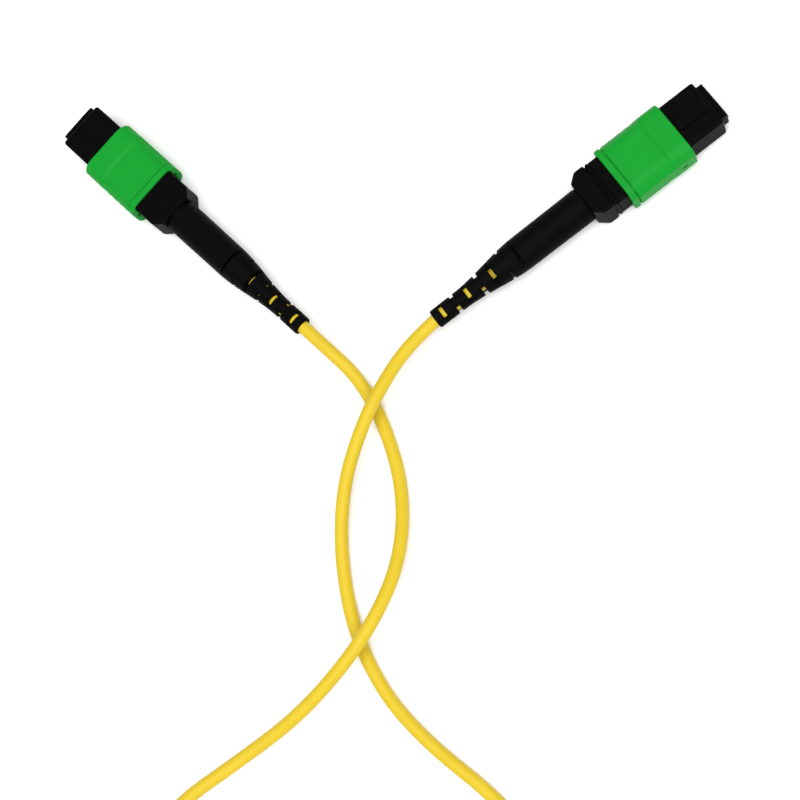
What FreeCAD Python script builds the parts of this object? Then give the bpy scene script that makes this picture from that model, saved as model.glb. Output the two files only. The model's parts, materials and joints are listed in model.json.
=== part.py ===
import FreeCAD, Part
import math
import os

# A short fibre patch cord with an MPO plug on each end.
#
# Millimetres, +Z up, floor at z = 0. Each plug is drawn about its own axis, with +X towards its
# ferrule and its key on +Z, and is then set on the floor. Plug A keeps the part's own axes: the
# origin is on the floor, under the middle of its coupling sleeve's front band, which rests there.
# Plug B lies key down, turned to the side.

Vector = FreeCAD.Vector

# ---------------------------------------------------------------- driving dimensions
# Coupling sleeve
SLEEVE_LENGTH = 14.0
SLEEVE_WIDTH = 12.4
SLEEVE_HEIGHT = 7.6
SLEEVE_CORNER = 2.0
SLEEVE_TRAVEL = 2.0
SLEEVE_EDGE = 0.35
FRONT_BAND = 4.0
REAR_RIM = 1.15
RAMP_LENGTH = 0.8
FIELD_DEPTH = 0.3
GRIP_RIBS = 5
GRIP_RIB_RADIUS = 0.7
MOUTH_DEPTH = 1.6
MOUTH_WALL = 0.8
MOUTH_FLAT_GAP = 0.2
CHANNEL_WALL = 0.45
SIDE_HOLE_LENGTH = 1.3
SIDE_HOLE_HEIGHT = 0.75
SIDE_HOLE_SETBACK = 2.6

# Plug housing
PLUG_WIDTH = 9.7
PLUG_HEIGHT = 6.2
PLUG_CORNER = 0.6
PLUG_STANDOUT = 7.5
NOSE_WIDTH = 7.75
NOSE_HEIGHT = 4.1
NOSE_LENGTH = 1.3
NOSE_CORNER = 0.3
SHOULDER_BEVEL = 0.5
KEY_WIDTH = 3.0
KEY_RAISE = 0.5
KEY_MARGIN = 0.6
LATCH_POCKET_SETBACK = 0.3
LATCH_POCKET_LENGTH = 3.0
LATCH_POCKET_HEIGHT = 3.4
LATCH_POCKET_DEPTH = 0.7
HOOK_WINDOW_SETBACK = 2.15
HOOK_WINDOW_LENGTH = 1.3
HOOK_WINDOW_HEIGHT = 2.4
ROOM_WIDTH = 7.3
ROOM_HEIGHT = 4.8
ROOM_CORNER = 0.5

# Ferrule and what rides behind it
FERRULE_WIDTH = 6.4
FERRULE_HEIGHT = 2.5
FERRULE_LENGTH = 8.0
FERRULE_PROUD = 0.3
FERRULE_FLOAT = 0.8
FLANGE_WIDTH = 7.0
FLANGE_HEIGHT = 3.0
FLANGE_LENGTH = 2.0
END_FACE_ANGLE = 8.0
GUIDE_HOLE = 0.7
GUIDE_PITCH = 4.6
POCKET_WIDTH = 3.6
POCKET_HEIGHT = 1.6
POCKET_DEPTH = 3.0
EPOXY_WINDOW_LENGTH = 2.4
EPOXY_WINDOW_WIDTH = 3.0
EPOXY_OVERLAP = 0.4
KEEPER_LENGTH = 2.0
KEEPER_CORNER = 0.2
RIBBON_WIDTH = 3.0
RIBBON_THICKNESS = 0.32
GUIDE_SLEEVE_CORNER = 0.25

# Springs
MAIN_SPRING_DIAMETER = 4.4
MAIN_SPRING_WIRE = 0.5
MAIN_SPRING_TURNS = 5
SIDE_SPRING_DIAMETER = 1.0
SIDE_SPRING_WIRE = 0.2
SIDE_SPRING_TURNS = 5
LUG_LENGTH = 0.9
LUG_HEIGHT = 1.0
LUG_SETBACK = 3.9
SIDE_SPRING_LENGTH = 7.6

# Back body and crimp
BODY_LENGTH = 4.7
BODY_WIDTH = 9.8
BODY_HEIGHT = 6.8
RIB_LENGTH = 0.7
RIB_DROP = 0.25
JOINT_GROOVE = 0.2
CORNER_CUT = 1.7
SPIGOT_LENGTH = 4.5
HOOK_LENGTH = 1.1
HOOK_HEIGHT = 2.0
HOOK_ROOT = 0.5
HOOK_SINK = 0.4
POST_LENGTH = 5.7
POST_DIAMETER = 4.6
POST_BORE = 3.4
POST_GROOVES = 2
POST_GROOVE_DEPTH = 0.15
CRIMP_WALL = 0.3
CRIMP_TAIL = 4.0
CRIMP_TAPER = 0.6

# Strain relief boot
BOOT_LENGTH = 34.4
BOOT_DIAMETER = 6.8
BOOT_SHOULDER_DIAMETER = 6.6
BOOT_TAIL_DIAMETER = 3.7
BOOT_STRAIGHT = 14.2
BOOT_TAIL = 5.6
BOOT_EDGE = 0.3
SLIT_ROWS = 7
SLIT_PITCH = 2.84
SLIT_END = 2.0
SLIT_NARROW = 0.5
SLIT_WIDE = 0.8
SLIT_HALF_ANGLE = 58.0

# Cord and clearances
CORD_DIAMETER = 2.5
MOUTH_JOINT = 1.5
SLIDE_GAP = 0.15
FIT_GAP = 0.05
STOP_GAP = 0.1
CORD_GAP = 0.05
ARC_SHARE = 0.45
CORD_EXIT_RUN = 6.8

# How far a cutting shape runs on past the face that it opens
OVERRUN = 1.0

# Where the front band of plug B's sleeve rests, and which way its ferrule points
PLUG_B_X = -83.8
PLUG_B_Y = 67.2
PLUG_B_HEADING = 101.0

# ---------------------------------------------------------------- stations along a plug's axis
# They are measured from the middle of the sleeve's front band.
SLEEVE_FRONT = FRONT_BAND / 2
SLEEVE_REAR = SLEEVE_FRONT - SLEEVE_LENGTH
SHOULDER = SLEEVE_FRONT + PLUG_STANDOUT
NOSE_FRONT = SHOULDER + NOSE_LENGTH
FERRULE_FACE = NOSE_FRONT + FERRULE_PROUD
FERRULE_REAR = FERRULE_FACE - FERRULE_LENGTH
FLANGE_FRONT = FERRULE_REAR + FLANGE_LENGTH
KEEPER_FRONT = FERRULE_REAR - FIT_GAP
KEEPER_REAR = KEEPER_FRONT - KEEPER_LENGTH
PLUG_REAR = SLEEVE_REAR - SLEEVE_TRAVEL - STOP_GAP
SPRING_SEAT = PLUG_REAR + SPIGOT_LENGTH
BODY_REAR = PLUG_REAR - BODY_LENGTH
POST_END = BODY_REAR - POST_LENGTH
CRIMP_END = POST_END - CRIMP_TAPER - CRIMP_TAIL
BOOT_END = BODY_REAR - BOOT_LENGTH
LUG_FRONT = SLEEVE_FRONT - LUG_SETBACK
LUG_REAR = LUG_FRONT - LUG_LENGTH
GROOVE_FRONT = LUG_FRONT + STOP_GAP
GROOVE_REAR = LUG_REAR - SIDE_SPRING_LENGTH - 2 * FIT_GAP
SLEEVE_FIELD = SLEEVE_WIDTH / 2 - FIELD_DEPTH
CHANNEL_FLOOR = SLEEVE_FIELD - CHANNEL_WALL
SPRING_LINE = CHANNEL_FLOOR - FIT_GAP - SIDE_SPRING_DIAMETER / 2
GROOVE_FLOOR = SPRING_LINE - SIDE_SPRING_DIAMETER / 2 - FIT_GAP
SPRING_ROOM = SIDE_SPRING_DIAMETER + 2 * FIT_GAP
HOOK_WINDOW_REAR = PLUG_REAR + HOOK_WINDOW_SETBACK
AXIS_HEIGHT = SLEEVE_HEIGHT / 2
CORD_RADIUS = CORD_DIAMETER / 2


# ---------------------------------------------------------------- shared shapes
def section(x, width, height, corner):
    """A rectangle with round corners, across the axis at station x."""
    y, z = width / 2, height / 2
    flat_y, flat_z = y - corner, z - corner
    bow = corner * math.sqrt(0.5)
    edges = []
    for turn in range(4):
        across, up = ((flat_y, flat_z), (flat_z, flat_y))[turn % 2]
        angle = math.radians(90 * turn)

        def at(a, b):
            return Vector(x, a * math.cos(angle) - b * math.sin(angle),
                          a * math.sin(angle) + b * math.cos(angle))

        side = across + corner
        top = up + corner
        edges.append(Part.LineSegment(at(side, -up), at(side, up)).toShape())
        edges.append(Part.Arc(at(side, up), at(across + bow, up + bow), at(across, top)).toShape())
    return Part.Wire(edges)


def bar(rear, front, width, height, corner=0.0):
    """A block along the axis, centred on it, with its four long edges rounded."""
    if corner == 0.0:
        return Part.makeBox(front - rear, width, height, Vector(rear, -width / 2, -height / 2))
    return Part.Face(section(rear, width, height, corner)).extrude(Vector(front - rear, 0, 0))


def rod(rear, front, diameter, y=0.0):
    """A round bar along the axis, or beside it."""
    return Part.makeCylinder(diameter / 2, front - rear, Vector(rear, y, 0), Vector(1, 0, 0))


def taper(rear_section, front_section):
    return Part.makeLoft([rear_section, front_section], True, True)


def side_block(rear, front, inner, outer, height, side):
    """A block on one narrow side, between two distances from the axis."""
    low = inner if side > 0 else -outer
    return Part.makeBox(front - rear, outer - inner, height, Vector(rear, low, -height / 2))


def end_edges(shape, x):
    return [e for e in shape.Edges if abs(e.BoundBox.XMin - x) + abs(e.BoundBox.XMax - x) < 1e-4]


def joined(pieces):
    shape = pieces[0].multiFuse(pieces[1:]) if len(pieces) > 1 else pieces[0]
    return shape.removeSplitter()


def coil(rear, length, diameter, wire, turns):
    """A spring along the axis, wound from wire of square section."""
    radius = (diameter - wire) / 2
    height = length - wire
    helix = Part.makeHelix(height / turns, height, radius)
    half = wire / 2
    corners = [(-half, -half), (half, -half), (half, half), (-half, half), (-half, -half)]
    profile = Part.makePolygon([Vector(radius + a, 0, b) for a, b in corners])
    spring = Part.Wire(helix.Edges).makePipeShell([profile], True, True)
    spring.rotate(Vector(0, 0, 0), Vector(0, 1, 0), 90)
    spring.translate(Vector(rear + half, 0, 0))
    return spring


# ---------------------------------------------------------------- coupling sleeve
def sleeve_body():
    """Full section at the front and the rear rim, with a lower field between them."""
    field_front = SLEEVE_FRONT - FRONT_BAND - RAMP_LENGTH
    rim_front = SLEEVE_REAR + REAR_RIM
    band = bar(field_front + RAMP_LENGTH, SLEEVE_FRONT, SLEEVE_WIDTH, SLEEVE_HEIGHT, SLEEVE_CORNER)
    band = band.makeChamfer(SLEEVE_EDGE, end_edges(band, SLEEVE_FRONT))
    rim = bar(SLEEVE_REAR, rim_front, SLEEVE_WIDTH, SLEEVE_HEIGHT, SLEEVE_CORNER)
    rim = rim.makeChamfer(SLEEVE_EDGE, end_edges(rim, SLEEVE_REAR))
    low = (SLEEVE_WIDTH - 2 * FIELD_DEPTH, SLEEVE_HEIGHT - 2 * FIELD_DEPTH, SLEEVE_CORNER - FIELD_DEPTH)
    field = bar(rim_front, field_front, *low)
    ramp = taper(section(field_front, *low),
                 section(field_front + RAMP_LENGTH, SLEEVE_WIDTH, SLEEVE_HEIGHT, SLEEVE_CORNER))
    return joined([band, ramp, field, rim] + grip_ribs(rim_front, field_front))


def grip_ribs(rear, front):
    """Upright half-round ribs on both narrow sides, as high as the flat of the side."""
    pitch = (front - rear) / GRIP_RIBS
    height = SLEEVE_HEIGHT - 2 * SLEEVE_CORNER
    centre = SLEEVE_WIDTH / 2 - GRIP_RIB_RADIUS
    ribs = []
    for index in range(GRIP_RIBS):
        x = rear + (index + 0.5) * pitch
        for side in (-1, 1):
            foot = Vector(x, side * centre, -height / 2)
            ribs.append(Part.makeCylinder(GRIP_RIB_RADIUS, height, foot))
    return ribs


def side_hole(side):
    """The oblong hole near the front of a narrow side."""
    x = SLEEVE_FRONT - SIDE_HOLE_SETBACK
    radius = SIDE_HOLE_HEIGHT / 2
    reach = SIDE_HOLE_LENGTH / 2 - radius
    depth = SLEEVE_WIDTH / 2
    across = Vector(0, side, 0)
    ends = [Part.makeCylinder(radius, depth, Vector(x + step, 0, 0), across) for step in (-reach, reach)]
    return joined(ends + [side_block(x - reach, x + reach, 0.0, depth, SIDE_HOLE_HEIGHT, side)])


def coupling_sleeve():
    """A tube with a wider mouth, a spring channel inside each narrow side and a lug in front of it."""
    tunnel = (PLUG_WIDTH + 2 * SLIDE_GAP, PLUG_HEIGHT + 2 * SLIDE_GAP, PLUG_CORNER + SLIDE_GAP)
    mouth = (SLEEVE_WIDTH - 2 * MOUTH_WALL, PLUG_HEIGHT + 2 * MOUTH_FLAT_GAP, SLEEVE_CORNER - MOUTH_WALL)
    cuts = [bar(SLEEVE_REAR - OVERRUN, SLEEVE_FRONT + OVERRUN, *tunnel),
            bar(SLEEVE_FRONT - MOUTH_DEPTH, SLEEVE_FRONT + OVERRUN, *mouth)]
    for side in (-1, 1):
        cuts.append(side_block(SLEEVE_REAR - OVERRUN, LUG_REAR, 0.0, CHANNEL_FLOOR, SPRING_ROOM, side))
        cuts.append(side_hole(side))
    sleeve = sleeve_body().cut(cuts)
    lug_tip = GROOVE_FLOOR + 2 * FIT_GAP
    lug_root = (CHANNEL_FLOOR + SLEEVE_FIELD) / 2
    lugs = [side_block(LUG_REAR, LUG_FRONT, lug_tip, lug_root, LUG_HEIGHT, side) for side in (-1, 1)]
    return joined([sleeve] + lugs)


def sleeve_springs():
    """The two springs that push the sleeve forward, one in each narrow side."""
    springs = []
    for side in (-1, 1):
        spring = coil(GROOVE_REAR + FIT_GAP, SIDE_SPRING_LENGTH, SIDE_SPRING_DIAMETER,
                      SIDE_SPRING_WIRE, SIDE_SPRING_TURNS)
        spring.translate(Vector(0, side * SPRING_LINE, 0))
        springs.append(spring)
    return springs


# ---------------------------------------------------------------- plug housing
def housing_outside():
    body = bar(PLUG_REAR, SHOULDER, PLUG_WIDTH, PLUG_HEIGHT, PLUG_CORNER)
    body = body.makeChamfer(SHOULDER_BEVEL, end_edges(body, SHOULDER))
    nose = bar(SHOULDER - SHOULDER_BEVEL, NOSE_FRONT, NOSE_WIDTH, NOSE_HEIGHT, NOSE_CORNER)
    return joined([body, nose, key()])


def key():
    """The polarity key: a low rail on the top face, in front of the sleeve."""
    rear = SLEEVE_FRONT + KEY_MARGIN
    front = SHOULDER - SHOULDER_BEVEL
    root = PLUG_HEIGHT / 2 - KEY_RAISE
    top = PLUG_HEIGHT / 2 + KEY_RAISE
    corners = [(rear, root), (rear, top), (front - KEY_RAISE, top), (front, top - KEY_RAISE), (front, root)]
    outline = [Vector(x, -KEY_WIDTH / 2, z) for x, z in corners]
    return Part.Face(Part.makePolygon(outline + outline[:1])).extrude(Vector(0, KEY_WIDTH, 0))


def plug_housing():
    """A moulded shell, open at the rear, that guides the ferrule and holds its spring."""
    clear = 2 * FIT_GAP
    cuts = [
        bar(FLANGE_FRONT, NOSE_FRONT + OVERRUN, FERRULE_WIDTH + clear, FERRULE_HEIGHT + clear),
        bar(SPRING_SEAT, FLANGE_FRONT + FIT_GAP, FLANGE_WIDTH + clear, FLANGE_HEIGHT + clear),
        bar(PLUG_REAR - OVERRUN, KEEPER_REAR, ROOM_WIDTH, ROOM_HEIGHT, ROOM_CORNER),
    ]
    pocket_front = SLEEVE_FRONT - LATCH_POCKET_SETBACK
    pocket_floor = PLUG_WIDTH / 2 - LATCH_POCKET_DEPTH
    outside = PLUG_WIDTH / 2 + OVERRUN
    for side in (-1, 1):
        cuts += [
            side_block(GROOVE_REAR, GROOVE_FRONT, GROOVE_FLOOR, outside, SPRING_ROOM, side),
            side_block(pocket_front - LATCH_POCKET_LENGTH, pocket_front, pocket_floor, outside,
                       LATCH_POCKET_HEIGHT, side),
            side_block(HOOK_WINDOW_REAR, HOOK_WINDOW_REAR + HOOK_WINDOW_LENGTH, 0.0, outside,
                       HOOK_WINDOW_HEIGHT, side),
        ]
    return housing_outside().cut(cuts)


# ---------------------------------------------------------------- ferrule and its followers
def ferrule():
    """The fibre ferrule: two guide holes, a rear pocket, a flange and a slanted end face."""
    overrun = FERRULE_HEIGHT
    blank = bar(FERRULE_REAR, FERRULE_FACE + overrun, FERRULE_WIDTH, FERRULE_HEIGHT)
    flange = bar(FERRULE_REAR, FLANGE_FRONT, FLANGE_WIDTH, FLANGE_HEIGHT)
    cutter = Part.makeBox(2 * overrun, 2 * FERRULE_WIDTH, 4 * FERRULE_HEIGHT,
                          Vector(FERRULE_FACE, -FERRULE_WIDTH, -2 * FERRULE_HEIGHT))
    cutter.rotate(Vector(FERRULE_FACE, 0, 0), Vector(0, 1, 0), -END_FACE_ANGLE)
    cuts = [cutter]
    for side in (-1, 1):
        cuts.append(rod(FERRULE_REAR - OVERRUN, FERRULE_FACE + overrun, GUIDE_HOLE, side * GUIDE_PITCH / 2))
    cuts.append(bar(FERRULE_REAR - OVERRUN, FERRULE_REAR + POCKET_DEPTH, POCKET_WIDTH - 2 * FIT_GAP,
                    POCKET_HEIGHT))
    window_rear = FERRULE_REAR + POCKET_DEPTH - EPOXY_OVERLAP
    cuts.append(Part.makeBox(EPOXY_WINDOW_LENGTH, EPOXY_WINDOW_WIDTH, FERRULE_HEIGHT,
                             Vector(window_rear, -EPOXY_WINDOW_WIDTH / 2, 0)))
    return joined([blank, flange]).cut(cuts)


def pin_keeper():
    """The spacer between ferrule and spring, with room for the ribbon and two pin holes."""
    plate = bar(KEEPER_REAR, KEEPER_FRONT, FLANGE_WIDTH, FLANGE_HEIGHT, KEEPER_CORNER)
    rear, front = KEEPER_REAR - OVERRUN, KEEPER_FRONT + OVERRUN
    cuts = [bar(rear, front, POCKET_WIDTH, POCKET_HEIGHT)]
    for side in (-1, 1):
        cuts.append(rod(rear, front, GUIDE_HOLE, side * GUIDE_PITCH / 2))
    return plate.cut(cuts)


def ferrule_boot():
    """The soft sleeve that leads the ribbon into the ferrule."""
    rear = KEEPER_REAR + FIT_GAP
    front = FERRULE_REAR + POCKET_DEPTH - FIT_GAP
    width = POCKET_WIDTH - 4 * FIT_GAP
    height = POCKET_HEIGHT - 2 * FIT_GAP
    outside = bar(rear, front, width, height, GUIDE_SLEEVE_CORNER)
    slot = bar(rear - OVERRUN, front + OVERRUN, RIBBON_WIDTH + 2 * FIT_GAP, RIBBON_THICKNESS + 2 * FIT_GAP)
    return outside.cut(slot)


def fibre_ribbon():
    """Twelve fibres side by side, from the ferrule to the end of the crimp post."""
    rear = POST_END + FERRULE_FLOAT + STOP_GAP
    front = FERRULE_REAR + POCKET_DEPTH - FIT_GAP
    return bar(rear, front, RIBBON_WIDTH, RIBBON_THICKNESS, RIBBON_THICKNESS / 4)


def main_spring():
    length = KEEPER_REAR - SPRING_SEAT - 2 * FIT_GAP
    return coil(SPRING_SEAT + FIT_GAP, length, MAIN_SPRING_DIAMETER, MAIN_SPRING_WIRE, MAIN_SPRING_TURNS)


# ---------------------------------------------------------------- back body and crimp
def body_block():
    """The exposed block: a front rib, a joint groove and a rear with its corners cut off."""
    rib_rear = PLUG_REAR - RIB_LENGTH
    groove_rear = rib_rear - JOINT_GROOVE
    low = (BODY_WIDTH - 2 * RIB_DROP, BODY_HEIGHT - 2 * RIB_DROP, PLUG_CORNER)
    rib = bar(rib_rear, PLUG_REAR, BODY_WIDTH, BODY_HEIGHT - RIB_DROP, PLUG_CORNER)
    neck = bar(groove_rear, rib_rear, *low)
    block = bar(BODY_REAR, groove_rear, BODY_WIDTH, BODY_HEIGHT, PLUG_CORNER)
    half, narrow = BODY_WIDTH / 2, BOOT_DIAMETER / 2
    plan = [(groove_rear, half), (BODY_REAR + CORNER_CUT, half), (BODY_REAR, narrow),
            (BODY_REAR, -narrow), (BODY_REAR + CORNER_CUT, -half), (groove_rear, -half)]
    outline = [Vector(x, y, -BODY_HEIGHT / 2) for x, y in plan]
    prism = Part.Face(Part.makePolygon(outline + outline[:1])).extrude(Vector(0, 0, BODY_HEIGHT))
    return joined([block.common(prism), neck, rib])


def latch_hook(side):
    """A ramped catch on the spigot, which snaps into the housing's side window."""
    rear = HOOK_WINDOW_REAR + FIT_GAP
    root = ROOM_WIDTH / 2 - HOOK_ROOT
    tip = PLUG_WIDTH / 2 - HOOK_SINK
    corners = [(rear, root), (rear, tip), (rear + HOOK_LENGTH / 3, tip), (rear + HOOK_LENGTH, root)]
    outline = [Vector(x, side * y, -HOOK_HEIGHT / 2) for x, y in corners]
    return Part.Face(Part.makePolygon(outline + outline[:1])).extrude(Vector(0, 0, HOOK_HEIGHT))


def back_body():
    """The spring push: spigot and hooks in front, exposed block, then the crimp post."""
    fit = 2 * FIT_GAP
    spigot = bar(PLUG_REAR, SPRING_SEAT, ROOM_WIDTH - fit, ROOM_HEIGHT - fit, ROOM_CORNER)
    post = rod(POST_END, BODY_REAR, POST_DIAMETER)
    pieces = [body_block(), spigot, post, latch_hook(-1), latch_hook(1)]
    cuts = [rod(POST_END - OVERRUN, SPRING_SEAT + OVERRUN, POST_BORE)]
    pitch = POST_LENGTH / (POST_GROOVES + 1)
    for index in range(POST_GROOVES):
        centre = BODY_REAR - (index + 1) * pitch
        ring = rod(centre - pitch / 4, centre + pitch / 4, POST_DIAMETER + OVERRUN)
        cuts.append(ring.cut(rod(POST_END, BODY_REAR, POST_DIAMETER - 2 * POST_GROOVE_DEPTH)))
    return joined(pieces).cut(cuts)


def turned(profile):
    """A solid of revolution about the axis, from (x, radius) corners."""
    points = [Vector(x, 0, r) for x, r in profile]
    face = Part.Face(Part.makePolygon(points + points[:1]))
    return face.revolve(Vector(0, 0, 0), Vector(1, 0, 0), 360)


def crimp_ring():
    """A stepped metal ring: wide over the post, narrow round the cord."""
    wide = POST_DIAMETER / 2 + FIT_GAP
    narrow = CORD_RADIUS + CORD_GAP
    front = BODY_REAR - FIT_GAP
    knee = POST_END - CRIMP_TAPER
    inner_knee = POST_END - FIT_GAP
    return turned([(front, wide), (front, wide + CRIMP_WALL), (POST_END, wide + CRIMP_WALL),
                   (knee, narrow + CRIMP_WALL), (CRIMP_END, narrow + CRIMP_WALL), (CRIMP_END, narrow),
                   (knee, narrow), (inner_knee, wide)])


# ---------------------------------------------------------------- strain relief boot
def boot_radius(x):
    """Outside radius of the boot at station x, as its S-curve gives it."""
    shoulder, tail = BODY_REAR - BOOT_STRAIGHT, BOOT_END + BOOT_TAIL
    share = min(max((shoulder - x) / (shoulder - tail), 0.0), 1.0)
    blend = share * share * (3 - 2 * share)
    return (BOOT_SHOULDER_DIAMETER * (1 - blend) + BOOT_TAIL_DIAMETER * blend) / 2


def boot_blank():
    """The boot turned about the axis: a near-straight barrel, an S-curve and a thin tail."""
    shoulder, tail = BODY_REAR - BOOT_STRAIGHT, BOOT_END + BOOT_TAIL
    wide, neck, thin = BOOT_DIAMETER / 2, BOOT_SHOULDER_DIAMETER / 2, BOOT_TAIL_DIAMETER / 2
    crimp_room = POST_DIAMETER / 2 + FIT_GAP + CRIMP_WALL + FIT_GAP
    bore = CORD_RADIUS + CORD_GAP
    step = CRIMP_END - FIT_GAP
    third = (shoulder - tail) / 3

    def at(x, radius):
        return Vector(x, 0, radius)

    curve = Part.BezierCurve()
    curve.setPoles([at(shoulder, neck), at(shoulder - third, neck), at(tail + third, thin), at(tail, thin)])
    corners = [at(tail, thin), at(BOOT_END + BOOT_EDGE, thin), at(BOOT_END, thin - BOOT_EDGE),
               at(BOOT_END, bore), at(step, bore), at(step, crimp_room), at(BODY_REAR, crimp_room),
               at(BODY_REAR, wide - BOOT_EDGE), at(BODY_REAR - BOOT_EDGE, wide), at(shoulder, neck)]
    straight = [Part.LineSegment(a, b).toShape() for a, b in zip(corners, corners[1:])]
    outline = Part.Wire([curve.toShape()] + straight)
    return Part.Face(outline).revolve(Vector(0, 0, 0), Vector(1, 0, 0), 360)


def boot_slits():
    """Rows of crossways slits, in pairs: over and under, then left and right, by turns."""
    slits = []
    reach = BOOT_DIAMETER
    for row in range(SLIT_ROWS):
        x = BOOT_END + SLIT_END + (SLIT_ROWS - 1 - row) * SLIT_PITCH
        width = SLIT_NARROW + (SLIT_WIDE - SLIT_NARROW) * row / (SLIT_ROWS - 1)
        floor = boot_radius(x) * math.cos(math.radians(SLIT_HALF_ANGLE))
        for side in (-1, 1):
            low = floor if side > 0 else -floor - reach
            if row % 2 == 0:
                corner, size = Vector(x - width / 2, -reach, low), (width, 2 * reach, reach)
            else:
                corner, size = Vector(x - width / 2, low, -reach), (width, reach, 2 * reach)
            slits.append(Part.makeBox(*size, corner))
    return slits


def strain_boot():
    return boot_blank().cut(boot_slits())


def jacket_end():
    """The end of the cord inside the boot, gripped by the crimp ring."""
    return rod(BOOT_END + MOUTH_JOINT, POST_END - 2 * FIT_GAP, CORD_DIAMETER)


# ---------------------------------------------------------------- placing the two plugs
def place_a(shape):
    shape.translate(Vector(0, 0, AXIS_HEIGHT))
    return shape


def place_b(shape):
    """Key down: turned half round about the axis, then swung to its heading and moved."""
    origin = Vector(0, 0, 0)
    shape.rotate(origin, Vector(1, 0, 0), 180)
    shape.translate(Vector(0, 0, AXIS_HEIGHT))
    shape.rotate(origin, Vector(0, 0, 1), PLUG_B_HEADING)
    shape.translate(Vector(PLUG_B_X, PLUG_B_Y, 0))
    return shape


PIECES = {
    "coupling_sleeve": coupling_sleeve,
    "plug_housing": plug_housing,
    "ferrule": ferrule,
    "pin_keeper": pin_keeper,
    "ferrule_boot": ferrule_boot,
    "fibre_ribbon": fibre_ribbon,
    "main_spring": main_spring,
    "sleeve_springs": sleeve_springs,
    "back_body": back_body,
    "crimp_ring": crimp_ring,
    "strain_boot": strain_boot,
    "jacket_end": jacket_end,
}


# ---------------------------------------------------------------- the free cord
def plug_b_point(x, height):
    """A point on plug B's axis line, at station x and the given height."""
    angle = math.radians(PLUG_B_HEADING)
    return Vector(PLUG_B_X + x * math.cos(angle), PLUG_B_Y + x * math.sin(angle), height)


ON_FLOOR = CORD_RADIUS
OVER = ON_FLOOR + 2 * CORD_DIAMETER
SLOPING = ON_FLOOR + CORD_DIAMETER

# The cord's route, from plug A round the loop to plug B. It crosses itself twice.
CORD_ROUTE = [
    Vector(BOOT_END + MOUTH_JOINT, 0.0, AXIS_HEIGHT),
    Vector(-60.0, 0.0, AXIS_HEIGHT),
    Vector(-68.4, -3.4, OVER),
    Vector(-75.5, -8.4, OVER),
    Vector(-84.9, -15.3, SLOPING),
    Vector(-93.3, -25.2, ON_FLOOR),
    Vector(-99.3, -39.0, ON_FLOOR),
    Vector(-100.7, -56.0, ON_FLOOR),
    Vector(-92.0, -82.2, ON_FLOOR),
    Vector(-96.0, -105.0, ON_FLOOR),
    Vector(-116.0, -119.0, ON_FLOOR),
    Vector(-143.0, -118.0, ON_FLOOR),
    Vector(-166.0, -103.0, ON_FLOOR),
    Vector(-176.0, -78.0, ON_FLOOR),
    Vector(-167.0, -52.5, ON_FLOOR),
    Vector(-147.0, -42.9, ON_FLOOR),
    Vector(-127.5, -43.5, ON_FLOOR),
    Vector(-115.8, -43.8, SLOPING),
    Vector(-104.0, -42.2, OVER),
    Vector(-93.4, -38.4, OVER),
    Vector(-83.9, -31.9, SLOPING),
    Vector(-76.5, -21.5, ON_FLOOR),
    Vector(-72.2, -9.2, ON_FLOOR),
    Vector(-71.1, 1.3, ON_FLOOR),
    plug_b_point(BOOT_END - CORD_EXIT_RUN, AXIS_HEIGHT),
    plug_b_point(BOOT_END + MOUTH_JOINT, AXIS_HEIGHT),
]


def cord_wire():
    """Straight runs joined by tangent arcs, each as large as its two runs allow."""
    route = CORD_ROUTE
    edges = []
    start = route[0]
    radii = []
    for before, corner, after in zip(route, route[1:], route[2:]):
        back, ahead = before - corner, after - corner
        turn = math.pi - back.getAngle(ahead)
        setback = ARC_SHARE * min(back.Length, ahead.Length)
        radius = setback / math.tan(turn / 2)
        radii.append(radius)
        back.normalize()
        ahead.normalize()
        entry, leave = corner + back * setback, corner + ahead * setback
        inward = (back + ahead).normalize()
        middle = corner + inward * (radius / math.cos(turn / 2) - radius)
        edges.append(Part.LineSegment(start, entry).toShape())
        edges.append(Part.Arc(entry, middle, leave).toShape())
        start = leave
    edges.append(Part.LineSegment(start, route[-1]).toShape())
    print("cord arc radii, mm:", " ".join(f"{r:.0f}" for r in radii))
    return Part.Wire(edges)


def free_cord():
    wire = cord_wire()
    direction = CORD_ROUTE[1] - CORD_ROUTE[0]
    profile = Part.Wire(Part.makeCircle(CORD_RADIUS, CORD_ROUTE[0], direction))
    cord = wire.makePipeShell([profile], True, False)
    expected = math.pi * CORD_RADIUS ** 2 * wire.Length
    print(f"cord length {wire.Length:.1f} mm, volume {cord.Volume:.1f}, section x length {expected:.1f}")
    return cord


# ---------------------------------------------------------------- files
def export(name, shape):
    solids = shape if isinstance(shape, list) else [shape]
    found = [solid for piece in solids for solid in piece.Solids]
    body = found[0] if len(found) == 1 else Part.makeCompound(found)
    body.exportStep(f"parts/{name}.step")
    box = body.BoundBox
    print(f"{name:20s} solids {len(found)} valid {body.isValid()} volume {body.Volume:9.2f}"
          f"  z {box.ZMin:6.2f} to {box.ZMax:6.2f}")


def main():
    os.makedirs("parts", exist_ok=True)
    for name, make in PIECES.items():
        for letter, place in (("a", place_a), ("b", place_b)):
            shape = make()
            if isinstance(shape, list):
                export(f"{name}_{letter}", [place(piece) for piece in shape])
            else:
                export(f"{name}_{letter}", place(shape))
    export("free_cord", free_cord())


main()
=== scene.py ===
"""The looks of a short fibre patch cord with an MPO plug on each end.

The part's own frame, in metres. Each plug is drawn once, in millimetres about its own axis, with
+X towards its ferrule and +Z towards its key, and is then set where the frame has the two plugs.
"""
import json
import math

import bmesh
import bpy
import numpy as np
from mathutils import Matrix, Vector


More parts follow.
